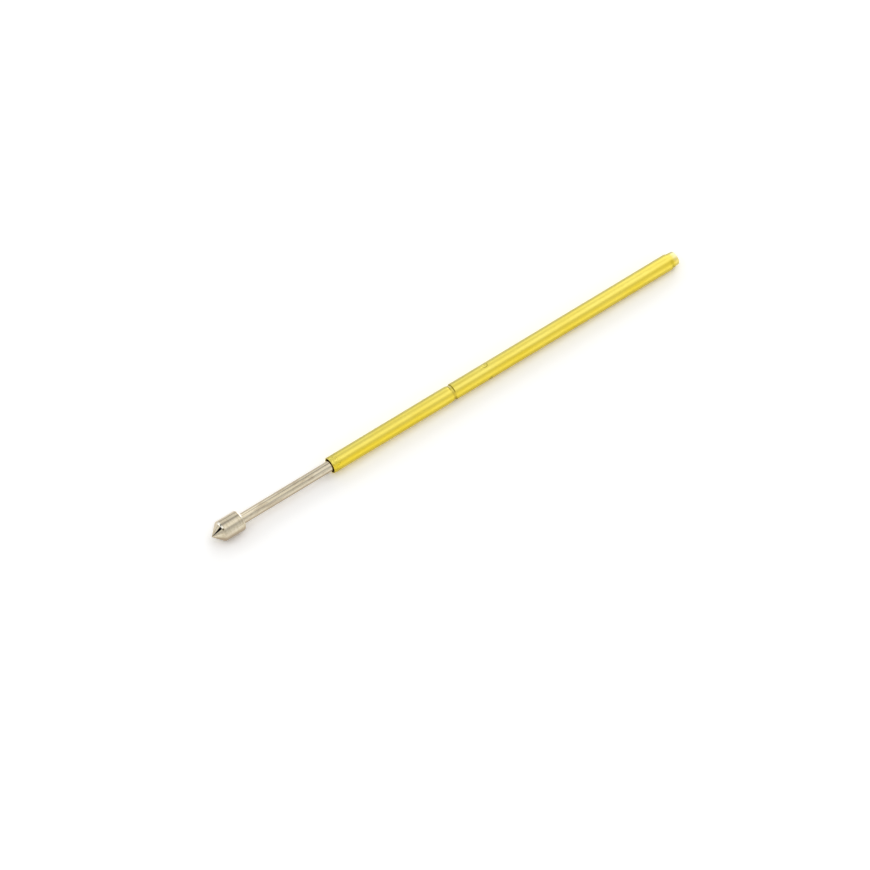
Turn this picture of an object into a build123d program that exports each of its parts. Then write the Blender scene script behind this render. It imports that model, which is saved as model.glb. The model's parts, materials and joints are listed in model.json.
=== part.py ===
from build123d import *
import math
import os

# A spring-loaded contact pin: a sprung plunger in a drawn barrel.
# Millimetres. The pin lies along X with its tip towards -X, the origin at the
# centre of the barrel's front rim and +Z up.

# Barrel, drawn from tube
barrel_diameter = 1.02
bore_diameter = 0.80
barrel_length = 24.37
end_wall = 0.12
rim_edge = 0.04
mouth_flare = 0.04
mouth_depth = 0.10
shoulder_edge = 0.03

# Tail nose, where the tube is necked down behind the barrel's shoulder
nose_root_diameter = 0.93
nose_end_diameter = 0.84
nose_length = 0.53
nose_edge = 0.10
vent_diameter = 0.50

# Ring rolled into the barrel, which keeps the plunger in
crimp_place = 8.68
crimp_width = 0.30
crimp_floor = 0.10
crimp_depth = 0.05

# Marks punched into the barrel behind the ring, evenly spaced round it
punch_count = 3
punch_place = 11.20
punch_width = 0.36
punch_depth = 0.05
punch_turn = 20

# Plunger head, with a cone point
head_diameter = 1.30
head_length = 1.43
cone_angle = 90
point_radius = 0.03
head_edge = 0.04
head_back_chamfer = 0.10

# Plunger shaft, the two bearings that run in the bore and the neck between them
shaft_diameter = 0.67
shaft_exposed = 6.37
stroke = 6.35
bearing_clearance = 0.015
bearing_edge = 0.04
front_bearing_start = 0.45
neck_diameter = 0.60
stroke_clearance = 0.08
crimp_clearance = 0.02
tail_bearing_length = 3.20

# Spring, closed at both ends, held between the plunger's tail and the end wall
wire_diameter = 0.11
wire_sides = 6
spring_mean_diameter = 0.60
active_turns = 17
closed_turns = 1
closed_clearance = 0.01
seat_gap = 0.01

# Places along the axis that more than one piece uses
bore_end = barrel_length - end_wall
crimp_front = crimp_place - crimp_width / 2
crimp_rear = crimp_place + crimp_width / 2
tail_bearing_start = crimp_rear + crimp_clearance
tail_end = tail_bearing_start + tail_bearing_length


def corners(face, *places):
    """The section's corners at these (x, radius) places."""
    return [min(face.vertices(), key=lambda v: abs(v.center() - Vector(*place))) for place in places]


def turned(face):
    """The section turned round the pin's axis."""
    return revolve(face, axis=Axis.X)


def inner_crimp():
    """The rolled ring's four corners inside the bore, from the tail forwards."""
    bore = bore_diameter / 2
    sunk = bore - crimp_depth
    return [
        (crimp_rear, bore),
        (crimp_place + crimp_floor / 2, sunk),
        (crimp_place - crimp_floor / 2, sunk),
        (crimp_front, bore),
    ]


def punches():
    """Round-ended punches that sink into the barrel by the marks' depth."""
    ball = (punch_width**2 / 4 + punch_depth**2) / (2 * punch_depth)
    reach = barrel_diameter / 2 - punch_depth + ball
    return [
        Rot(X=-punch_turn - 360 * i / punch_count) * Pos(punch_place, 0, reach) * Sphere(ball)
        for i in range(punch_count)
    ]


def barrel():
    """Drawn tube with a flared mouth, the rolled ring, punch marks and a necked, open tail."""
    outer = barrel_diameter / 2
    bore = bore_diameter / 2
    vent = vent_diameter / 2
    nose_end = barrel_length + nose_length
    rim = (0, outer)
    shoulder = (barrel_length, outer)
    nose_corner = (nose_end, nose_end_diameter / 2)
    ring = ThreePointArc((crimp_front, outer), (crimp_place, outer - crimp_depth), (crimp_rear, outer))
    outline = Polyline(
        ring @ 1,
        shoulder,
        (barrel_length, nose_root_diameter / 2),
        nose_corner,
        (nose_end, vent),
        (bore_end, vent),
        (bore_end, bore),
        *inner_crimp(),
        (mouth_depth, bore),
        (0, bore + mouth_flare),
        rim,
        ring @ 0,
    )
    face = make_face([ring, outline])
    face = chamfer(corners(face, rim), rim_edge)
    face = chamfer(corners(face, shoulder), shoulder_edge)
    face = fillet(corners(face, nose_corner), nose_edge)
    return turned(face) - punches()


def plunger():
    """Turned in one piece: cone, head, shaft, front bearing, neck and tail bearing."""
    head = head_diameter / 2
    shaft = shaft_diameter / 2
    bearing = bore_diameter / 2 - bearing_clearance
    neck = neck_diameter / 2
    head_back = -shaft_exposed
    head_front = head_back - head_length
    half_angle = math.radians(cone_angle / 2)
    front_bearing_end = crimp_front - stroke - stroke_clearance
    step_up = bearing - shaft
    step_down = bearing - neck
    # The point is an arc about the axis that runs on into the cone.
    sharp_tip = head_front - head / math.tan(half_angle)
    point_centre = sharp_tip + point_radius / math.sin(half_angle)
    point = CenterArc((point_centre, 0), point_radius, 180, cone_angle / 2 - 90)
    outline = Polyline(
        point @ 1,
        (head_front, head),
        (head_back, head),
        (head_back, shaft),
        (front_bearing_start, shaft),
        (front_bearing_start + step_up, bearing),
        (front_bearing_end, bearing),
        (front_bearing_end + step_down, neck),
        (tail_bearing_start - step_down / 2, neck),
        (tail_bearing_start + step_down / 2, bearing),
        (tail_end, bearing),
        (tail_end, 0),
        point @ 0,
    )
    face = make_face([point, outline])
    face = chamfer(corners(face, (head_front, head)), head_edge)
    face = chamfer(corners(face, (head_back, head)), head_back_chamfer)
    face = chamfer(corners(face, (tail_end, bearing)), bearing_edge)
    return turned(face)


def spring():
    """Compression spring: one closed turn, the open turns, and one closed turn.

    Every corner of the wire's section runs along a helix of its own, and the
    wire's flat sides are ruled between neighbouring helices.
    """
    wire = wire_diameter / 2
    mean = spring_mean_diameter / 2
    start = tail_end + seat_gap
    length = bore_end - seat_gap - start
    closed_pitch = wire_diameter + closed_clearance
    closed_length = closed_turns * closed_pitch
    open_pitch = (length - wire_diameter - 2 * closed_length) / active_turns
    stages = [(closed_turns, closed_pitch), (active_turns, open_pitch), (closed_turns, closed_pitch)]
    angles = [2 * math.pi * i / wire_sides for i in range(wire_sides)]
    wire_corners = [(wire * math.cos(a), wire * math.sin(a)) for a in angles]
    faces = []
    place = start + wire
    ends = []
    for turns, pitch in stages:
        helices = [
            (Pos(X=place + dx) * Helix(pitch, pitch * turns, mean + dr, direction=(1, 0, 0))).edge()
            for dx, dr in wire_corners
        ]
        for i in range(wire_sides):
            faces.append(Face.make_surface_from_curves(helices[i], helices[(i + 1) % wire_sides]))
        ends.append(Face(Wire.make_polygon([helix @ 0 for helix in helices])))
        ends.append(Face(Wire.make_polygon([helix @ 1 for helix in helices])))
        place += pitch * turns
    return Solid(Shell(faces + [ends[0], ends[-1]]))


os.makedirs("parts", exist_ok=True)
export_step(barrel(), "parts/barrel.step")
export_step(plunger(), "parts/plunger.step")
export_step(spring(), "parts/spring.step")
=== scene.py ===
import json
import math

import bmesh
import bpy
from mathutils import Matrix, Vector


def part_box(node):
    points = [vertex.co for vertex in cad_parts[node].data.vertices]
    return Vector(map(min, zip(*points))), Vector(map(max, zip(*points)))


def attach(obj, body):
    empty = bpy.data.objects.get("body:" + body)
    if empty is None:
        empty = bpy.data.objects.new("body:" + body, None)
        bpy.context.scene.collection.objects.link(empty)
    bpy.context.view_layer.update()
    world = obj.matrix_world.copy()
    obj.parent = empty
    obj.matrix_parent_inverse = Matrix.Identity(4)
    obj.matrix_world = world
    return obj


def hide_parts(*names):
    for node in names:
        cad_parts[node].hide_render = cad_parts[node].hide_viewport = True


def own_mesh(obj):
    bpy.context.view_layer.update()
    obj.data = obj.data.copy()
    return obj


bl_info = {
    "name": "Spring contact pin",
    "version": (1, 0, 0),
    "blender": (4, 5, 0),
    "location": "View3D > Sidebar > Contact Pin",
    "description": "A sprung contact pin: gold-plated barrel, nickel-plated plunger and their spring",
    "category": "Add Mesh",
}

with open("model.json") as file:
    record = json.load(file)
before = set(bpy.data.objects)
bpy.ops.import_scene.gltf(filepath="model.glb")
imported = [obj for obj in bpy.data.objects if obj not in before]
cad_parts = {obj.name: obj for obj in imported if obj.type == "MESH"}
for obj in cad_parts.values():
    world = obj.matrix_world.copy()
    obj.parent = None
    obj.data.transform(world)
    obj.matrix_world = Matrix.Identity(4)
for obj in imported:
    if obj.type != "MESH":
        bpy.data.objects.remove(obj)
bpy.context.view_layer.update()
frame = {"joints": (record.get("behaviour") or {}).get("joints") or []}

MM = 0.001
MICRON = 0.000001

# The frame's own sizes, in metres
barrel_low, barrel_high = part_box("barrel")
plunger_low, plunger_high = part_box("plunger")
spring_low, spring_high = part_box("spring")
travel = next(joint for joint in frame["joints"] if joint["name"] == "plunger_travel")
stroke = travel["range_m"][1]

# How finely round forms are cut
SIDES = 160
ARC_STEPS = 10
WIRE_SIDES = 16
COIL_STEPS = 48
SMOOTH_ANGLE = math.radians(24)

# The contact point's rounding: angles from +X, beside the axis and where it runs on into the cone
POINT_START = math.radians(175.5)
POINT_END = math.radians(135)

# Directions round the pin, in degrees from +Z towards +Y
# The upper side is painted a paler gold, as a sheen.
UPPER_SIDE = 30
# Painted shade falls on the underside of tube and plunger.
UNDERSIDE = -115
# The painted dark band along the upper back.
DARK_EDGE_BEHIND = 75
DARK_EDGE_ABOVE = -15
RING_TOP = 60
HEAD_BACK_TOP = 15
HEAD_FRONT_TOP = 7

# The three punch marks, each with painted shade round its edge. The first has that shade only faintly on
# its +Y side, and the last is darkened all over.
PUNCHES = 3
PUNCH_TURN = 20
CRESCENT_PUNCH = 0
DARKENED_PUNCH = 2

# How fine each pattern is: its grains in a metre, along the pin and across it
DIE_MARKS = (140, 5000, 5000)
FINE_DIE_MARKS = (900, 16000, 16000)
GOLD_CLOUDS = (500, 1600, 1600)
RIM_SPECKS = (15000, 15000, 15000)
TOOL_RINGS = (13000, 900, 900)
SHAFT_STREAKS = (500, 9000, 9000)
NICKEL_GRAIN = (14000, 14000, 14000)
NICKEL_STAINS = (1100, 3000, 3000)
WIRE_MARKS = (30000, 5000, 5000)
WIRE_CLOUDS = (1500, 1500, 1500)

# Where a finish changes: two distances in mm from the place that it belongs to
SPECKS_END = (0.30, 0.80)
# Painted highlight on the nose's end.
NOSE_HIGHLIGHT = (0.10, 0.40)
# Painted shade inside the bore, by radius and up to the end wall.
BORE_SKIN = (0.045, 0.065)
BORE_END = (-0.15, -0.12)
HEAD_END = (-0.01, 0.01)
CONE_END = (-0.04, 0.0)
# Painted highlight on the head's back edge.
HEAD_BACK_HIGHLIGHT = (-0.14, -0.11)

# Bands of a finish: start, full, fade and end in mm from the place that they belong to
# Painted shade by the shoulder, on the lower side.
NECK_SHADE = (-0.12, 0.0, 0.06, 0.20)
# Painted highlight band on top of the ring.
RING_HIGHLIGHT = (-0.05, -0.03, 0.03, 0.05)
# Painted shade round each punch mark.
PUNCH_EDGE = (-0.07, -0.02, 0.0, 0.03)
# Painted highlight on the head's shoulder.
HEAD_FRONT_HIGHLIGHT = (-0.07, -0.03, 0.06, 0.10)

# Painted shade on the ring's walls: its soft edge, and how far it runs out in front
RING_SHADE_BLUR = 0.008 * MM
RING_SHADE_REACH = 0.02 * MM

# The first two spots are painted shade on the head's shoulder, where its dark reflection bands end.
# Spots: place along the pin, angle round it, length and width, in mm and degrees
SHOULDER_SPOTS = ((-7.77, 3, 0.13, 0.13), (-7.80, -25, 0.17, 0.17))
SMEAR = (-1.5, -43, 0.7, 0.16)

FLOOR_SPAN = 3.0
# The room's brightness from the horizon in front, over the ceiling, to the horizon behind, in degrees
ROOM = (
    (0, 0.94),
    (12, 0.90),
    (24, 0.78),
    (34, 0.72),
    (42, 0.61),
    (49, 0.57),
    (56, 0.68),
    (64, 0.80),
    (78, 0.86),
    (90, 0.76),
    (98, 0.68),
    (104, 0.66),
    (109, 0.57),
    (114, 0.50),
    (123, 0.40),
    (130, 0.64),
    (138, 0.96),
    (150, 0.98),
    (164, 0.80),
    (174, 0.56),
    (180, 0.44),
)
# How much brighter the room is behind and beyond both ends of the pin, and from where to where
ENDS_GAIN = 1.3
ENDS_REACH = (0.42, 0.60)
ENDS_BEHIND = (-0.05, 0.15)
# The gain stops again this far beyond the tip
TIP_REACH = (0.55, 0.68)
# A black card at the tip's end of the table, seen at these angles over the pin
CARD_ANGLES = (84, 92, 132, 138)
CARD_REACH = (0.78, 0.85)


def size(name, description, default):
    """A length that a user may change."""
    return bpy.props.FloatProperty(
        name=name, description=description, default=default, unit="LENGTH", precision=6
    )


def tilt(name, description, degrees):
    """An angle that a user may change."""
    return bpy.props.FloatProperty(
        name=name, description=description, default=math.radians(degrees), subtype="ANGLE"
    )


def brightness(name, description, default):
    """A brightness that a user may change."""
    return bpy.props.FloatProperty(name=name, description=description, default=default, min=0)


def colour(name, description, default):
    """A linear colour that a user may change."""
    return bpy.props.FloatVectorProperty(
        name=name, description=description, default=default, subtype="COLOR", size=3, min=0, max=1
    )


class BarrelSizes(bpy.types.PropertyGroup):
    """Drawn tube with a rolled ring and a necked tail."""

    diameter: size("Diameter", "Outside of the tube", barrel_high.z - barrel_low.z)
    length: size("Length", "Front rim to the end of the nose", barrel_high.x - barrel_low.x)
    bore: size("Bore", "Inside of the tube", 0.80 * MM)
    mouth_flare: size("Mouth flare", "How far the mouth opens beyond the bore", 0.04 * MM)
    mouth_depth: size("Mouth depth", "Length of the mouth's taper", 0.10 * MM)
    rim_round: size("Rim rounding", "Bevel on the front rim", 0.03 * MM)
    nose_length: size("Nose length", "Length of the necked tail", 0.53 * MM)
    nose_root: size("Nose root", "Diameter of the nose at the shoulder", 0.93 * MM)
    nose_end: size("Nose end", "Diameter of the nose at its end", 0.84 * MM)
    nose_round: size("Nose rounding", "Rounding of the nose's end", 0.10 * MM)
    shoulder_round: size("Shoulder rounding", "Bevel on the shoulder", 0.03 * MM)
    vent: size("Vent", "Hole in the end wall", 0.50 * MM)
    end_wall: size("End wall", "Thickness of the wall that the spring sits on", 0.12 * MM)
    ring_place: size("Ring place", "Rim to the middle of the rolled ring", 8.68 * MM)
    ring_width: size("Ring width", "Width of the rolled ring inside the bore", 0.30 * MM)
    ring_depth: size("Ring depth", "Depth of the rolled ring", 0.05 * MM)
    ring_dip: size("Ring dip", "Length of the tube's gentle dip in front of the ring", 0.22 * MM)
    ring_dip_depth: size("Ring dip depth", "Depth of the dip at the ring", 0.015 * MM)
    ring_flat: size("Ring flat", "Bottom of the ring", 0.14 * MM)
    ring_wall: size("Ring wall", "Length of each of the ring's steep walls", 0.035 * MM)
    ring_floor: size("Ring floor", "Flat of the ring inside the bore", 0.10 * MM)
    ring_lip: size("Ring lip", "Rounding of the ring's rear edge", 0.012 * MM)
    punch_place: size("Punch place", "Rim to the punch marks behind the ring", 11.2 * MM)
    punch_width: size("Punch width", "Length of a punch mark along the tube", 0.36 * MM)
    punch_depth: size("Punch depth", "Depth of a punch mark", 0.03 * MM)


class PlungerSizes(bpy.types.PropertyGroup):
    """Turned plunger: cone point, head, shaft, and two bearings with a neck between them."""

    head: size("Head", "Diameter of the head", plunger_high.z - plunger_low.z)
    head_length: size("Head length", "Length of the head behind its cone", 1.43 * MM)
    head_round: size("Head rounding", "Rounding between cone and head", 0.06 * MM)
    head_chamfer: size("Head chamfer", "Chamfer on the back of the head", 0.10 * MM)
    edge_round: size("Edge rounding", "Softening of the turned edges", 0.022 * MM)
    point_round: size("Point rounding", "Radius of the contact point", 0.03 * MM)
    shaft: size("Shaft", "Diameter of the shaft", 0.67 * MM)
    shaft_exposed: size("Shaft exposed", "Head to rim at rest", 6.37 * MM)
    bearing_gap: size("Bearing gap", "Clearance of the bearings in the bore", 0.015 * MM)
    bearing_edge: size("Bearing edge", "Chamfer on the tail bearing's end", 0.04 * MM)
    bearing_start: size("Bearing start", "Rim to the front bearing", 0.45 * MM)
    neck: size("Neck", "Diameter between the bearings", 0.60 * MM)
    stroke_gap: size("Stroke gap", "Front bearing to the ring at full stroke", 0.08 * MM)
    ring_gap: size("Ring gap", "Tail bearing to the ring at rest", 0.02 * MM)


class SpringSizes(bpy.types.PropertyGroup):
    """Compression spring with one closed turn at each end."""

    wire: size("Wire", "Diameter of the wire", 0.11 * MM)
    coil: size("Coil", "Diameter of the coil at the middle of its wire", 0.60 * MM)
    closed_gap: size("Closed gap", "Clearance between the closed turns", 0.01 * MM)
    turns: bpy.props.IntProperty(
        name="Turns", description="Open turns between the two closed ones", default=17, min=1
    )


class PinFinish(bpy.types.PropertyGroup):
    """Colours of the plated and bare metals, and of the highlights and shade painted on them."""

    # Pale gold: also a paler painted sheen on the upper side.
    gold_pale_and_sheen: colour("Pale gold", "Thin, greenish gold along the upper side", (0.98, 0.85, 0.19))
    gold_deep: colour("Deep gold", "Full gold plating elsewhere", (0.94, 0.73, 0.055))
    # Worn gold: painted highlights on the nose's end and on top of the ring.
    gold_highlight: colour("Worn gold", "Burnished gold on the nose's end and in the ring", (1.0, 0.96, 0.62))
    # Tarnish: painted shade in creases, by the shoulder and under the tube, and dark specks by the rim.
    gold_shade_and_dirt: colour("Tarnish", "Darkened gold in creases and under the tube", (0.27, 0.22, 0.005))
    # Olive tarnish: painted shade along the tube's upper back.
    olive_shade: colour("Olive tarnish", "Dull streak along the tube's upper back", (0.33, 0.31, 0.11))
    # Bore: painted shade inside the tube, which is also rougher.
    gold_bore_shade: colour("Bore", "Thin, dull plating inside the tube", (0.16, 0.10, 0.03))
    nickel: colour("Nickel", "Nickel plating on the plunger", (0.725, 0.653, 0.505))
    nickel_deep: colour("Worn nickel", "Nickel in the hollows of the turning marks", (0.61, 0.535, 0.38))
    # Stained nickel: the stains, and painted shade underneath and along the upper back.
    nickel_stain_and_shade: colour("Stained nickel", "Faint brown stains on the nickel", (0.42, 0.33, 0.22))
    # Burnished nickel: painted highlights on the upper side of the head's back edge and shoulder.
    nickel_highlight: colour("Burnished nickel", "Bright nickel on the head's worn edges", (0.96, 0.93, 0.84))
    # Nicked nickel: painted dark spots on the head's shoulder.
    nickel_dark_spot: colour("Nicked nickel", "Dirt in the nicks on the head's shoulder", (0.10, 0.08, 0.04))
    steel: colour("Steel", "Drawn spring wire", (0.52, 0.51, 0.49))


class StageSizes(bpy.types.PropertyGroup):
    """Camera, floor and light."""

    azimuth: tilt("Azimuth", "Camera round the pin", -35.7)
    elevation: tilt("Elevation", "Camera above the horizon", 57.1)
    distance: size("Distance", "Camera to what it looks at", 1.0)
    picture_width: size("Picture width", "What the picture spans at the pin", 50.73 * MM)
    look_along: size("Look along", "Rim to the middle of the picture, along the pin", 6.49 * MM)
    look_aside: size("Look aside", "The middle of the picture, off the pin", 1.627 * MM)
    floor_level: brightness("Floor", "Grey of the sweep that the pin lies on", 0.7)
    floor_seen: brightness("Floor as seen", "The sweep to the camera and in the metal", 1.21)
    room_level: brightness("Surroundings", "Brightness of the room", 1.0)
    room_tint: colour("Room tint", "Colour of the room's light", (1.0, 1.0, 1.0))
    lamp_level: brightness("Softbox", "Brightness that the softbox adds to the ceiling", 0.28)
    lamp_tint: colour("Softbox tint", "Colour of the softbox", (1.0, 0.98, 0.95))
    lamp_height: size("Softbox height", "Softbox above the floor", 1.5)
    lamp_lean: tilt("Softbox lean", "How far the softbox hangs in front", 10)
    lamp_width: size("Softbox width", "Softbox across the pin", 1.3)
    lamp_length: size("Softbox length", "Softbox along the pin", 3.0)


# Shader maths


class Signal:
    """A socket of a material's nodes, on which Python's own sums add Math nodes."""

    def __init__(self, finish, socket):
        self.finish = finish
        self.socket = socket

    def __add__(self, other):
        return self.finish.sum("ADD", self, other)

    __radd__ = __add__

    def __sub__(self, other):
        return self.finish.sum("SUBTRACT", self, other)

    def __rsub__(self, other):
        return self.finish.sum("SUBTRACT", other, self)

    def __mul__(self, other):
        return self.finish.sum("MULTIPLY", self, other)

    __rmul__ = __mul__

    def __truediv__(self, other):
        return self.finish.sum("DIVIDE", self, other)


class Finish:
    """The node tree of a material or of the world, built one node at a time."""

    def __init__(self, owner):
        owner.use_nodes = True
        self.tree = owner.node_tree
        self.tree.nodes.clear()

    def node(self, kind, sockets, **settings):
        """One node: its settings first, then the values or links of its sockets."""
        made = self.tree.nodes.new(kind)
        for name, value in settings.items():
            setattr(made, name, value)
        for key, value in sockets.items():
            if isinstance(value, Signal):
                self.tree.links.new(value.socket, made.inputs[key])
            else:
                made.inputs[key].default_value = value
        return made

    def out(self, made, key=0):
        """One of a node's outputs."""
        return Signal(self, made.outputs[key])

    def sum(self, operation, first, second=0.0):
        """A Math node."""
        return self.out(self.node("ShaderNodeMath", {0: first, 1: second}, operation=operation))

    def place(self):
        """Object coordinates, in metres from the pin's origin."""
        return self.out(self.node("ShaderNodeTexCoord", {}), "Object")

    def parts(self, vector):
        """A vector's three numbers."""
        made = self.node("ShaderNodeSeparateXYZ", {0: vector})
        return [self.out(made, key) for key in range(3)]

    def scaled(self, vector, factors):
        """A vector stretched along its axes."""
        made = self.node("ShaderNodeVectorMath", {0: vector, 1: factors}, operation="MULTIPLY")
        return self.out(made)

    def distance(self, vector, centre):
        """How far a point is from a centre."""
        made = self.node("ShaderNodeVectorMath", {0: vector, 1: centre}, operation="DISTANCE")
        return self.out(made, "Value")

    def noise(self, place, grains, detail=2.0, roughness=0.5):
        """Noise from 0 to 1 with this many grains in a metre."""
        vector = self.scaled(place, grains)
        sockets = {"Vector": vector, "Scale": 1.0, "Detail": detail, "Roughness": roughness}
        return self.out(self.node("ShaderNodeTexNoise", sockets))

    def ramp(self, value, stops):
        """Greys at these places from 0 to 1, blended between."""
        made = self.node("ShaderNodeValToRGB", {0: value})
        elements = made.color_ramp.elements
        elements.remove(elements[1])
        for number, (place, level) in enumerate(stops):
            stop = elements[0] if number == 0 else elements.new(place)
            stop.position = place
            stop.color = (level, level, level, 1)
        return self.out(made)

    def between(self, value, low, high, start=0.0, end=1.0):
        """A smooth step from start to end as the value goes from low to high."""
        sockets = {"Value": value, "From Min": low, "From Max": high, "To Min": start, "To Max": end}
        return self.out(self.node("ShaderNodeMapRange", sockets, interpolation_type="SMOOTHSTEP"))

    def step(self, value, origin, span, start=0.0, end=1.0):
        """A smooth step over a span, which is given in mm from the origin."""
        low, high = (origin + offset * MM for offset in span)
        return self.between(value, low, high, start, end)

    def window(self, value, start, full, fade, end):
        """1 from full to fade, easing to 0 at start and end."""
        return self.between(value, start, full) * self.between(value, fade, end, 1, 0)

    def band(self, value, origin, span):
        """A window whose four edges are given in mm from the origin."""
        return self.window(value, *(origin + offset * MM for offset in span))

    def mixed(self, share, first, second):
        """Two colours mixed, each of them a socket or a plain colour."""
        first, second = (c if isinstance(c, Signal) else opaque(c) for c in (first, second))
        made = self.node("ShaderNodeMix", {0: share, 6: first, 7: second}, data_type="RGBA")
        return self.out(made, 2)

    def bump(self, height, depth):
        """A normal from a height of 0 to 1 that stands for this depth."""
        return self.out(self.node("ShaderNodeBump", {"Distance": depth, "Height": height}))

    def metal(self, base, roughness, normal):
        """The metal's own shader, joined to the output."""
        sockets = {"Base Color": base, "Roughness": roughness, "Metallic": 1.0, "Normal": normal}
        shader = self.node("ShaderNodeBsdfPrincipled", sockets)
        self.node("ShaderNodeOutputMaterial", {0: self.out(shader)})


def opaque(rgb):
    """A colour with its alpha."""
    return (*rgb, 1.0)


def from_axis(finish, place):
    """How far a point is from the pin's axis, and its place along it."""
    along, across, up = finish.parts(place)
    return finish.sum("SQRT", across * across + up * up), along


def towards(finish, place, angle):
    """How much a point faces this way round the pin, from 1 to -1."""
    _, across, up = finish.parts(place)
    reach = finish.sum("SQRT", across * across + up * up + MICRON * MICRON)
    turn = math.radians(angle)
    return (across * math.sin(turn) + up * math.cos(turn)) / reach


def painted_dark_edge(finish, place):
    """Painted shade: a dark band along the upper back of tube and plunger, standing for the dark
    reflection at that edge.
    """
    behind = finish.between(towards(finish, place, DARK_EDGE_BEHIND), 0.45, 0.80)
    return behind * finish.between(towards(finish, place, DARK_EDGE_ABOVE), -0.3, 0.2)


def blot(finish, place, spot, radius):
    """A spot, from 1 in its middle to 0, on a surface of this radius."""
    along, angle, length, width = spot
    turn = math.radians(angle)
    squeeze = width / length
    centre = (along * MM * squeeze, radius * math.sin(turn), radius * math.cos(turn))
    reach = finish.distance(finish.scaled(place, (squeeze, 1, 1)), centre)
    return finish.between(reach, width * MM / 4, width * MM / 2, 1, 0)


def gold_plate(sizes, colours):
    """Gold over drawn tube: die marks, clouds, rim specks; a paler painted sheen on the upper side,
    painted highlights on the nose's end and on the ring, painted shade underneath, by the shoulder, in
    the ring, round the punch marks and along the upper back, and a rougher bore darkened with painted
    shade.
    """
    material = bpy.data.materials.new("gold_plate")
    finish = Finish(material)
    place = finish.place()
    radius, along = from_axis(finish, place)
    shoulder = sizes.length - sizes.nose_length
    broad = finish.noise(place, DIE_MARKS)
    fine = finish.noise(place, FINE_DIE_MARKS, 3, 0.6)
    clouds = finish.noise(place, GOLD_CLOUDS)
    specks = finish.between(finish.noise(place, RIM_SPECKS, 3), 0.50, 0.62)
    specks = specks * finish.step(along, 0, SPECKS_END, 1, 0.12)
    upper = finish.between(towards(finish, place, UPPER_SIDE), 0.2, 0.75)

    mottle = finish.between(0.5 * broad + 0.25 * fine + 0.5 * clouds, 0.45, 0.80)
    # The upper side is painted a paler gold as a sheen; the mottle also mixes the two golds at random.
    plated = finish.mixed(0.4 * mottle + 0.6 * (1 - upper), colours.gold_pale_and_sheen, colours.gold_deep)
    # Painted highlight on the nose's end, stronger on the upper side.
    painted_highlight = finish.step(along, shoulder, NOSE_HIGHLIGHT) * (0.3 + 0.4 * upper)
    plated = finish.mixed(painted_highlight, plated, colours.gold_highlight)
    # Painted shade: the dark band along the upper back.
    plated = finish.mixed(0.55 * painted_dark_edge(finish, place), plated, colours.olive_shade)
    # Painted highlight: a pale band on top of the ring.
    ring_top = finish.between(towards(finish, place, RING_TOP), 0.50, 0.85)
    painted_highlight = 0.7 * finish.band(along, sizes.ring_place, RING_HIGHLIGHT) * ring_top
    plated = finish.mixed(painted_highlight, plated, colours.gold_highlight)

    # Painted shade under the tube and by the shoulder on its lower side, with the rim's dark specks.
    under = finish.between(towards(finish, place, UNDERSIDE), 0.55, 0.92)
    neck = 0.3 * finish.band(along, shoulder, NECK_SHADE) * (1 - upper)
    darkening = 0.40 * under + 0.45 * specks + neck
    # Painted shade in the ring's walls and round the punch marks.
    ring = ring_shade(sizes, finish, place)
    crease_shade = finish.sum("MAXIMUM", ring, punch_shade(sizes, finish, place))
    # All the gold's painted shade, with the rim's dark specks.
    dark = finish.sum("MAXIMUM", darkening, finish.sum("MINIMUM", crease_shade, 1.0))
    plated = finish.mixed(dark, plated, colours.gold_shade_and_dirt)
    # Painted shade inside the bore, which is also rougher.
    inside = finish.step(radius, sizes.bore / 2, BORE_SKIN, 1, 0)
    inside = inside * finish.step(along, shoulder, BORE_END, 1, 0)
    base = finish.mixed(inside, plated, colours.gold_bore_shade)

    roughness = 0.27 + 0.12 * broad + 0.10 * clouds + 0.10 * specks + 0.25 * inside
    height = 0.5 * broad + 0.3 * fine + 0.5 * specks
    finish.metal(base, roughness, finish.bump(height, 3.5 * MICRON))
    return material


def ring_shade(sizes, finish, place):
    """Painted shade on the ring's two walls: dark at the top of the tube and under it, faint between."""
    along, across, up = finish.parts(place)
    flat_front, flat_rear = ring_flat(sizes)
    wall_end = flat_rear + sizes.ring_wall
    foot = flat_front - sizes.ring_wall - RING_SHADE_REACH
    rear = finish.window(along, flat_rear - RING_SHADE_BLUR, flat_rear, wall_end, wall_end + RING_SHADE_BLUR)
    front = finish.window(along, foot, foot + RING_SHADE_BLUR, flat_front, flat_front + RING_SHADE_BLUR)
    side = across * 0.6 + up
    upper = finish.between(side, 0.10 * MM, 0.34 * MM)
    top = finish.between(side, 0.36 * MM, 0.48 * MM)
    under = finish.between(side, -0.40 * MM, -0.16 * MM, 1, 0)
    return rear * (0.15 + 0.85 * upper) + front * 0.9 * top + (rear + front) * under


def punch_shade(sizes, finish, place):
    """Painted shade round the edge of each punch mark, and darkening all over the last one."""
    half = sizes.punch_width / 2
    dark = 0.0
    for number, (angle, centre) in enumerate(punch_centres(sizes, sizes.diameter / 2)):
        reach = finish.distance(place, centre)
        # Painted shade round the mark's edge.
        mark_shade = 0.6 * finish.band(reach, half, PUNCH_EDGE)
        if number == CRESCENT_PUNCH:
            mark_shade = mark_shade * finish.between(towards(finish, place, angle - 90), -0.25, 0.05, 0.1, 1)
        if number == DARKENED_PUNCH:
            mark_shade = finish.sum("MAXIMUM", mark_shade, 0.8 * finish.between(reach, half * 0.6, half, 1, 0))
        dark = finish.sum("MAXIMUM", dark, mark_shade)
    return dark


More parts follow.
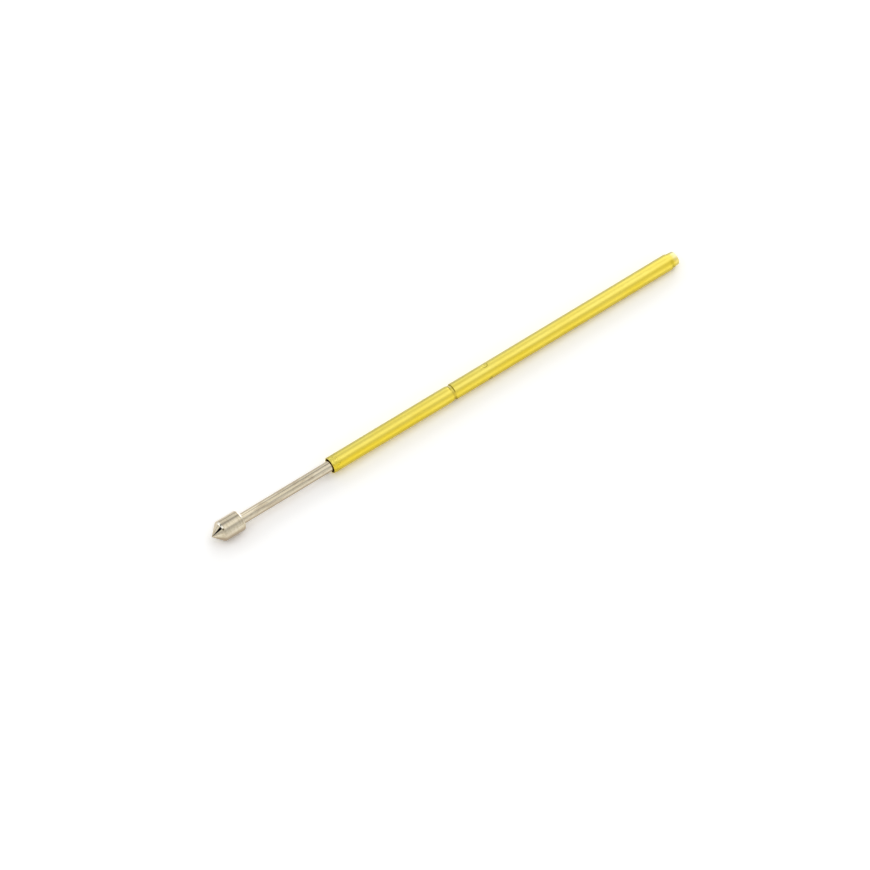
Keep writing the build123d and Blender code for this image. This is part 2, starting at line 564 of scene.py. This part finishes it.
def nickel_plate(sizes, colours):
    """Nickel over turned brass: rings from the tool on the head, streaks and stains; painted highlights
    on the head's edges, painted shade underneath and along the upper back, and painted dark spots on the
    head's shoulder.
    """
    material = bpy.data.materials.new("nickel_plate")
    finish = Finish(material)
    place = finish.place()
    along = finish.parts(place)[0]
    head_back = -sizes.shaft_exposed
    head_front = head_back - sizes.head_length
    on_head = finish.step(along, head_back, HEAD_END, 1, 0)
    on_cone = finish.step(along, head_front, CONE_END, 1, 0)
    rings = finish.noise(place, TOOL_RINGS, 3, 0.6)
    streaks = finish.noise(place, SHAFT_STREAKS)
    grain = finish.noise(place, NICKEL_GRAIN, 3, 0.6)
    stains = finish.between(finish.noise(place, NICKEL_STAINS), 0.50, 0.68)
    marks = on_head * rings + (1 - on_head) * streaks

    share = finish.between(0.6 * marks + 0.4 * grain, 0.38, 0.72)
    plated = finish.mixed(share, colours.nickel, colours.nickel_deep)
    # Painted shade underneath and along the upper back, mixed with the stains and the smear.
    under = finish.between(towards(finish, place, UNDERSIDE), 0.64, 0.96)
    darkening = under + 0.4 * painted_dark_edge(finish, place)
    stain_and_shade = finish.sum("MAXIMUM", stains * (0.45 - 0.25 * on_head), darkening)
    stain_and_shade = stain_and_shade + 0.35 * blot(finish, place, SMEAR, sizes.shaft / 2)
    plated = finish.mixed(stain_and_shade, plated, colours.nickel_stain_and_shade)

    # Painted highlights on the upper side of the head's back edge and shoulder.
    back_top = finish.between(towards(finish, place, HEAD_BACK_TOP), 0.55, 0.95)
    front_top = finish.between(towards(finish, place, HEAD_FRONT_TOP), 0.86, 0.96)
    highlight_back = 0.95 * on_head * finish.step(along, head_back, HEAD_BACK_HIGHLIGHT) * back_top
    highlight_front = 0.9 * finish.band(along, head_front, HEAD_FRONT_HIGHLIGHT) * front_top
    base = finish.mixed(highlight_back + highlight_front, plated, colours.nickel_highlight)
    # Painted dark spots on the head's shoulder, where its dark reflection bands end.
    for shoulder_spot in SHOULDER_SPOTS:
        base = finish.mixed(0.9 * blot(finish, place, shoulder_spot, sizes.head / 2), base, colours.nickel_dark_spot)

    roughness = 0.09 + 0.10 * marks + 0.05 * grain + 0.06 * stains - 0.10 * on_cone
    height = (0.7 * marks + 0.3 * grain) * (1 - 0.85 * on_cone)
    finish.metal(base, roughness, finish.bump(height, 1.0 * MICRON))
    return material


def spring_wire(colours):
    """Drawn steel wire with faint die marks."""
    material = bpy.data.materials.new("spring_wire")
    finish = Finish(material)
    place = finish.place()
    marks = finish.noise(place, WIRE_MARKS, 3, 0.6)
    clouds = finish.noise(place, WIRE_CLOUDS)
    shade = finish.between(0.75 + 0.2 * marks + 0.15 * clouds, 0.8, 1.1)
    dark = [0.7 * share for share in colours.steel]
    base = finish.mixed(shade, dark, colours.steel)
    finish.metal(base, 0.22 + 0.15 * marks, finish.bump(marks, 1.0 * MICRON))
    return material


# Modelling


def start_fresh():
    """Leaves edit mode and selects nothing."""
    if bpy.context.mode != "OBJECT":
        bpy.ops.object.mode_set(mode="OBJECT")
    bpy.ops.object.select_all(action="DESELECT")


def arc(centre, radius, start, end, steps=ARC_STEPS):
    """Outline points (place, radius from the axis) on an arc. Angles run from +X towards the outside."""
    points = []
    for step in range(steps + 1):
        angle = start + (end - start) * step / steps
        points.append((centre[0] + radius * math.cos(angle), centre[1] + radius * math.sin(angle)))
    return points


def eased(start, end, steps=ARC_STEPS):
    """Outline points that leave the start level and steepen towards the end."""
    shares = [step / steps for step in range(1, steps + 1)]
    return [(start[0] + (end[0] - start[0]) * s, start[1] + (end[1] - start[1]) * s**2) for s in shares]


def ring_step(place, radius, next_place, next_radius):
    """Extrudes the selected ring to its next place and radius."""
    factor = next_radius / radius
    bpy.ops.mesh.extrude_region_move(TRANSFORM_OT_translate={"value": (next_place - place, 0, 0)})
    bpy.ops.transform.resize(value=(1, factor, factor), center_override=(0, 0, 0))


def turned(name, outline, closed):
    """A body turned round the pin's axis.

    A closed outline runs back to its start, and an open one is capped at both ends.
    """
    start_fresh()
    place, radius = outline[0]
    bpy.ops.mesh.primitive_circle_add(
        vertices=SIDES, radius=radius, location=(place, 0, 0), rotation=(0, math.pi / 2, 0)
    )
    piece = bpy.context.object
    piece.name = name
    piece.data.name = name
    bpy.ops.object.transform_apply(location=True, rotation=True, scale=True)
    bpy.ops.object.mode_set(mode="EDIT")
    bpy.ops.mesh.select_mode(type="EDGE")
    if not closed:
        bpy.ops.mesh.edge_face_add()
        bpy.ops.mesh.poke()
        select_rings(piece, [(place, radius)])
    for next_place, next_radius in outline[1:]:
        ring_step(place, radius, next_place, next_radius)
        place, radius = next_place, next_radius
    if closed:
        ring_step(place, radius, *outline[0])
    else:
        bpy.ops.mesh.edge_face_add()
        bpy.ops.mesh.poke()
    bpy.ops.mesh.select_all(action="SELECT")
    bpy.ops.mesh.remove_doubles(threshold=0.1 * MICRON)
    bpy.ops.mesh.normals_make_consistent(inside=False)
    return piece


def select_rings(piece, rings):
    """Selects the edges that run round the axis at each (place, radius)."""
    mesh = bmesh.from_edit_mesh(piece.data)
    near = 0.5 * MICRON

    def on_ring(vertex, place, radius):
        reach = math.hypot(vertex.co.y, vertex.co.z)
        return abs(vertex.co.x - place) < near and abs(reach - radius) < near

    for edge in mesh.edges:
        edge.select_set(False)
    for edge in mesh.edges:
        for place, radius in rings:
            if all(on_ring(vertex, place, radius) for vertex in edge.verts):
                edge.select_set(True)
    if not any(edge.select for edge in mesh.edges):
        raise RuntimeError(f"{piece.name} has no ring at {rings}")
    bmesh.update_edit_mesh(piece.data)


def rounded(piece, rings, width, steps=3):
    """Bevels the rings at these (place, radius) corners."""
    select_rings(piece, rings)
    bpy.ops.mesh.bevel(offset=width, offset_type="OFFSET", segments=steps, affect="EDGES")


def finished(piece, material, body, node):
    """Smooth shading, the finish, and the piece's place in the frame."""
    start_fresh()
    piece.select_set(True)
    bpy.context.view_layer.objects.active = piece
    bpy.ops.object.shade_smooth_by_angle(angle=SMOOTH_ANGLE)
    piece.data.materials.clear()
    piece.data.materials.append(material)
    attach(piece, body)
    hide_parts(node)


def pressed(piece, punch):
    """Cuts the punch's form out of the piece."""
    start_fresh()
    piece.select_set(True)
    bpy.context.view_layer.objects.active = piece
    cut = piece.modifiers.new("punch", "BOOLEAN")
    cut.operation = "DIFFERENCE"
    cut.solver = "EXACT"
    cut.object = punch
    bpy.ops.object.modifier_apply(modifier=cut.name)
    bpy.data.objects.remove(punch)


def ring_flat(sizes):
    """Where the bottom of the rolled ring starts and ends along the pin."""
    return sizes.ring_place - sizes.ring_flat / 2, sizes.ring_place + sizes.ring_flat / 2


def punch_centres(sizes, reach):
    """The punch marks' angles in degrees, and their places at this distance from the axis."""
    for number in range(PUNCHES):
        angle = PUNCH_TURN + number * 360 / PUNCHES
        turn = math.radians(angle)
        yield angle, (sizes.punch_place, reach * math.sin(turn), reach * math.cos(turn))


def punch_tool(sizes):
    """Round punches spaced round the barrel, whose tips reach the marks' depth."""
    start_fresh()
    depth = sizes.punch_depth
    ball = (sizes.punch_width**2 / 4 + depth**2) / (2 * depth)
    punches = []
    for _, centre in punch_centres(sizes, sizes.diameter / 2 - depth + ball):
        bpy.ops.mesh.primitive_uv_sphere_add(segments=96, ring_count=48, radius=ball, location=centre)
        punches.append(bpy.context.object)
    for punch in punches:
        punch.select_set(True)
    bpy.ops.object.join()
    bpy.ops.object.transform_apply(location=True, rotation=True, scale=True)
    return bpy.context.object


class MESH_OT_contact_pin_barrel(bpy.types.Operator):
    """Turn the barrel, roll its ring and press its punch marks."""

    bl_idname = "mesh.contact_pin_barrel"
    bl_label = "Barrel"
    bl_options = {"REGISTER", "UNDO"}

    def execute(self, context):
        sizes = context.scene.pin_barrel
        outer = sizes.diameter / 2
        bore = sizes.bore / 2
        vent = sizes.vent / 2
        shoulder = sizes.length - sizes.nose_length
        bore_end = shoulder - sizes.end_wall
        ring_front = sizes.ring_place - sizes.ring_width / 2
        ring_rear = sizes.ring_place + sizes.ring_width / 2
        mouth = bore + sizes.mouth_flare
        nose_root = sizes.nose_root / 2
        nose_end = sizes.nose_end / 2
        # The tube dips gently, steps down to the ring's flat and comes out at a steep wall.
        flat_front, flat_rear = ring_flat(sizes)
        step = (flat_front - sizes.ring_wall, outer - sizes.ring_dip_depth)
        dip = (step[0] - sizes.ring_dip, outer)
        floor = outer - sizes.ring_depth
        wall = (flat_rear + sizes.ring_wall, outer)
        ring = [dip, *eased(dip, step), (flat_front, floor), (flat_rear, floor), wall]
        sunk = bore - sizes.ring_depth
        outline = [
            (0, mouth),
            (0, outer),
            *ring,
            (sizes.punch_place - sizes.punch_width, outer),
            (sizes.punch_place + sizes.punch_width, outer),
            (shoulder, outer),
            (shoulder, nose_root),
            (sizes.length, nose_end),
            (sizes.length, vent),
            (bore_end, vent),
            (bore_end, bore),
            (ring_rear, bore),
            (sizes.ring_place + sizes.ring_floor / 2, sunk),
            (sizes.ring_place - sizes.ring_floor / 2, sunk),
            (ring_front, bore),
            (sizes.mouth_depth, bore),
        ]
        barrel = turned("barrel_shell", outline, closed=True)
        rounded(barrel, [(0, outer)], sizes.rim_round, steps=5)
        rounded(barrel, [(0, mouth)], sizes.rim_round / 2)
        rounded(barrel, [wall], sizes.ring_lip)
        rounded(barrel, [(shoulder, outer)], sizes.shoulder_round, steps=4)
        rounded(barrel, [(sizes.length, nose_end)], sizes.nose_round, steps=8)
        rounded(barrel, [(sizes.length, vent)], sizes.shoulder_round / 2)
        pressed(barrel, punch_tool(sizes))
        material = gold_plate(sizes, context.scene.pin_finish)
        finished(barrel, material, "barrel", "barrel")
        return {"FINISHED"}


class MESH_OT_contact_pin_plunger(bpy.types.Operator):
    """Turn the plunger in one piece."""

    bl_idname = "mesh.contact_pin_plunger"
    bl_label = "Plunger"
    bl_options = {"REGISTER", "UNDO"}

    def execute(self, context):
        sizes = context.scene.pin_plunger
        tube = context.scene.pin_barrel
        head = sizes.head / 2
        shaft = sizes.shaft / 2
        neck = sizes.neck / 2
        bearing = tube.bore / 2 - sizes.bearing_gap
        head_back = -sizes.shaft_exposed
        head_front = head_back - sizes.head_length
        chamfer = sizes.head_chamfer
        ring_front = tube.ring_place - tube.ring_width / 2
        ring_rear = tube.ring_place + tube.ring_width / 2
        front_bearing_end = ring_front - stroke - sizes.stroke_gap
        tail_start = ring_rear + sizes.ring_gap
        tail_end = plunger_high.x
        # The point is part of a ball that runs on into the 90 degree cone.
        ball = sizes.point_round
        ball_centre = plunger_low.x + ball
        point = arc((ball_centre, 0), ball, POINT_START, POINT_END)
        outline = [
            *point,
            (head_front, head),
            (head_back - chamfer, head),
            (head_back, head - chamfer),
            (head_back, shaft),
            (sizes.bearing_start, shaft),
            (sizes.bearing_start + bearing - shaft, bearing),
            (front_bearing_end, bearing),
            (front_bearing_end + bearing - neck, neck),
            (tail_start - (bearing - neck) / 2, neck),
            (tail_start + (bearing - neck) / 2, bearing),
            (tail_end, bearing),
        ]
        plunger = turned("plunger_body", outline, closed=False)
        rounded(plunger, [(head_front, head)], sizes.head_round, steps=5)
        rounded(plunger, [(head_back - chamfer, head)], sizes.edge_round * 2, steps=4)
        rounded(plunger, [(head_back, head - chamfer)], sizes.edge_round)
        rounded(plunger, [(head_back, shaft)], sizes.edge_round * 2)
        rounded(plunger, [(tail_end, bearing)], sizes.bearing_edge, steps=1)
        material = nickel_plate(sizes, context.scene.pin_finish)
        finished(plunger, material, "plunger", "plunger")
        return {"FINISHED"}


def coil_stage(start, pitch, turns, sizes):
    """One stretch of the spring, screwed from the wire's round section."""
    start_fresh()
    bpy.ops.mesh.primitive_circle_add(
        vertices=WIRE_SIDES,
        radius=sizes.wire / 2,
        location=(start, 0, sizes.coil / 2),
        rotation=(math.pi / 2, 0, 0),
    )
    stage = bpy.context.object
    bpy.ops.object.transform_apply(location=True, rotation=True, scale=True)
    screw = stage.modifiers.new("coil", "SCREW")
    screw.axis = "X"
    screw.angle = math.tau
    screw.screw_offset = pitch
    screw.iterations = turns
    screw.steps = COIL_STEPS
    screw.render_steps = COIL_STEPS
    bpy.ops.object.modifier_apply(modifier=screw.name)
    return stage


class MESH_OT_contact_pin_spring(bpy.types.Operator):
    """Coil the spring between the plunger's tail and the barrel's end wall."""

    bl_idname = "mesh.contact_pin_spring"
    bl_label = "Spring"
    bl_options = {"REGISTER", "UNDO"}

    def execute(self, context):
        sizes = context.scene.pin_spring
        length = spring_high.x - spring_low.x
        closed_pitch = sizes.wire + sizes.closed_gap
        open_pitch = (length - sizes.wire - 2 * closed_pitch) / sizes.turns
        place = spring_low.x + sizes.wire / 2
        stages = []
        for pitch, turns in ((closed_pitch, 1), (open_pitch, sizes.turns), (closed_pitch, 1)):
            stages.append(coil_stage(place, pitch, turns, sizes))
            place += pitch * turns
        for stage in stages:
            stage.select_set(True)
        bpy.ops.object.join()
        spring = bpy.context.object
        spring.name = "spring_coil"
        spring.data.name = "spring_coil"
        bpy.ops.object.mode_set(mode="EDIT")
        bpy.ops.mesh.select_all(action="SELECT")
        bpy.ops.mesh.remove_doubles(threshold=0.1 * MICRON)
        bpy.ops.mesh.select_non_manifold(extend=False)
        bpy.ops.mesh.fill_holes(sides=WIRE_SIDES)
        bpy.ops.mesh.select_all(action="SELECT")
        bpy.ops.mesh.normals_make_consistent(inside=False)
        material = spring_wire(context.scene.pin_finish)
        finished(spring, material, "spring", "spring")
        kept = (length - stroke) / length
        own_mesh(spring)
        return {"FINISHED"}


# Stage


def floor_material(stage):
    """White sweep that shows as pure white where no shadow falls."""
    material = bpy.data.materials.new("floor")
    finish = Finish(material)
    path = finish.node("ShaderNodeLightPath", {})
    seen = finish.sum("MAXIMUM", finish.out(path, "Is Camera Ray"), finish.out(path, "Is Glossy Ray"))
    seen = finish.sum("MAXIMUM", seen, finish.out(path, "Is Transmission Ray"))
    level = seen * (stage.floor_seen - stage.floor_level) + stage.floor_level
    matt = finish.node("ShaderNodeBsdfDiffuse", {"Color": level})
    finish.node("ShaderNodeOutputMaterial", {0: finish.out(matt)})
    return material


def room(stage):
    """A pale room round the table, with the softbox's dark frame and one black card.

    The camera itself sees plain white behind the table.
    """
    world = bpy.data.worlds.new("room")
    finish = Finish(world)
    direction = finish.out(finish.node("ShaderNodeTexCoord", {}), "Generated")
    along, across, up = finish.parts(direction)
    angle = finish.sum("ARCTAN2", up, 0 - across) * (180 / math.pi)
    walls = finish.ramp(angle / 180, [(place / 180, level) for place, level in ROOM])
    card = finish.window(angle, *CARD_ANGLES) * finish.between(0 - along, *CARD_REACH)
    ends = finish.between(finish.sum("ABSOLUTE", along), *ENDS_REACH, 0.0, ENDS_GAIN)
    behind = finish.between(across, *ENDS_BEHIND)
    gain = 1 + ends * behind * finish.between(0 - along, *TIP_REACH, 1, 0)
    level = walls * gain * (1 - card) * stage.room_level
    seen = finish.out(finish.node("ShaderNodeLightPath", {}), "Is Camera Ray")
    level = level + seen * (1 - level)
    glow = finish.node("ShaderNodeBackground", {"Color": opaque(stage.room_tint), "Strength": level})
    finish.node("ShaderNodeOutputWorld", {0: finish.out(glow)})
    return world


def rest_line(plunger, barrel):
    """The floor's height at the pin's origin and its slope: head and tail both touch it."""
    head_radius = -plunger_low.z
    tail_radius = -barrel_low.z
    head_place = -plunger.shaft_exposed - plunger.head_chamfer
    tail_place = barrel.length - barrel.nose_length - barrel.shoulder_round
    slope = (head_radius - tail_radius) / (tail_place - head_place)
    return -head_radius - slope * head_place, slope


class SCENE_OT_contact_pin_stage(bpy.types.Operator):
    """Lay the floor, hang the softbox and set the camera."""

    bl_idname = "scene.contact_pin_stage"
    bl_label = "Stage"
    bl_options = {"REGISTER", "UNDO"}

    def execute(self, context):
        stage = context.scene.pin_stage
        self.lay_floor(context, stage)
        self.light(context, stage)
        self.aim_camera(context, stage)
        context.scene.view_settings.view_transform = "Standard"
        return {"FINISHED"}

    def lay_floor(self, context, stage):
        """A wide flat sweep that touches the pin's head and tail."""
        start_fresh()
        height, slope = rest_line(context.scene.pin_plunger, context.scene.pin_barrel)
        bpy.ops.mesh.primitive_plane_add(
            size=FLOOR_SPAN, location=(0, 0, height), rotation=(0, -math.atan(slope), 0)
        )
        floor = bpy.context.object
        floor.name = "floor"
        floor.data.materials.append(floor_material(stage))

    def light(self, context, stage):
        """One large softbox overhead, in a pale room."""
        start_fresh()
        bpy.ops.object.light_add(
            type="AREA",
            location=(0, -stage.lamp_height * math.tan(stage.lamp_lean), stage.lamp_height),
            rotation=(-stage.lamp_lean, 0, 0),
        )
        lamp = bpy.context.object
        lamp.name = "softbox"
        lamp.data.shape = "RECTANGLE"
        lamp.data.size = stage.lamp_length
        lamp.data.size_y = stage.lamp_width
        area = stage.lamp_length * stage.lamp_width
        lamp.data.energy = stage.lamp_level * math.pi * area
        lamp.data.color = stage.lamp_tint
        context.scene.world = room(stage)

    def aim_camera(self, context, stage):
        """A camera whose picture is this wide at the pin."""
        start_fresh()
        around, above = stage.azimuth, stage.elevation
        back = Vector(
            (
                math.sin(around) * math.cos(above),
                -math.cos(around) * math.cos(above),
                math.sin(above),
            )
        )
        right = Vector((math.cos(around), math.sin(around), 0))
        up = back.cross(right)
        # Aside is square to the pin in the picture, towards its lower right.
        pin_right, pin_up = right.x, up.x
        aside = (right * pin_up - up * pin_right) / math.hypot(pin_right, pin_up)
        aim = Vector((stage.look_along, 0, 0)) + aside * stage.look_aside
        bpy.ops.object.camera_add()
        camera = bpy.context.object
        turn = Matrix((right, up, back)).transposed().to_4x4()
        camera.matrix_world = Matrix.Translation(aim + back * stage.distance) @ turn
        camera.data.lens = camera.data.sensor_width * stage.distance / stage.picture_width
        camera.data.clip_start = stage.distance / 100
        camera.data.clip_end = stage.distance * 10
        context.scene.camera = camera


class VIEW3D_PT_contact_pin(bpy.types.Panel):
    """The pin's pieces and their sizes."""

    bl_label = "Contact Pin"
    bl_idname = "VIEW3D_PT_contact_pin"
    bl_space_type = "VIEW_3D"
    bl_region_type = "UI"
    bl_category = "Contact Pin"

    def draw(self, context):
        groups = (
            ("mesh.contact_pin_barrel", context.scene.pin_barrel),
            ("mesh.contact_pin_plunger", context.scene.pin_plunger),
            ("mesh.contact_pin_spring", context.scene.pin_spring),
            ("scene.contact_pin_stage", context.scene.pin_stage),
        )
        for operator, settings in groups:
            box = self.layout.box()
            box.operator(operator)
            for name in settings.__annotations__:
                box.prop(settings, name)
        box = self.layout.box()
        for name in context.scene.pin_finish.__annotations__:
            box.prop(context.scene.pin_finish, name)


GROUPS = {
    "pin_barrel": BarrelSizes,
    "pin_plunger": PlungerSizes,
    "pin_spring": SpringSizes,
    "pin_finish": PinFinish,
    "pin_stage": StageSizes,
}
CLASSES = (
    *GROUPS.values(),
    MESH_OT_contact_pin_barrel,
    MESH_OT_contact_pin_plunger,
    MESH_OT_contact_pin_spring,
    SCENE_OT_contact_pin_stage,
    VIEW3D_PT_contact_pin,
)


def register():
    """Adds the classes and the scene's settings."""
    for kind in CLASSES:
        bpy.utils.register_class(kind)
    for name, kind in GROUPS.items():
        setattr(bpy.types.Scene, name, bpy.props.PointerProperty(type=kind))


def unregister():
    """Takes them away again."""
    for name in GROUPS:
        delattr(bpy.types.Scene, name)
    for kind in reversed(CLASSES):
        bpy.utils.unregister_class(kind)


def main():
    """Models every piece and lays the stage."""
    register()
    bpy.ops.mesh.contact_pin_barrel()
    bpy.ops.mesh.contact_pin_plunger()
    bpy.ops.mesh.contact_pin_spring()
    bpy.ops.scene.contact_pin_stage()


if __name__ == "__main__":
    main()
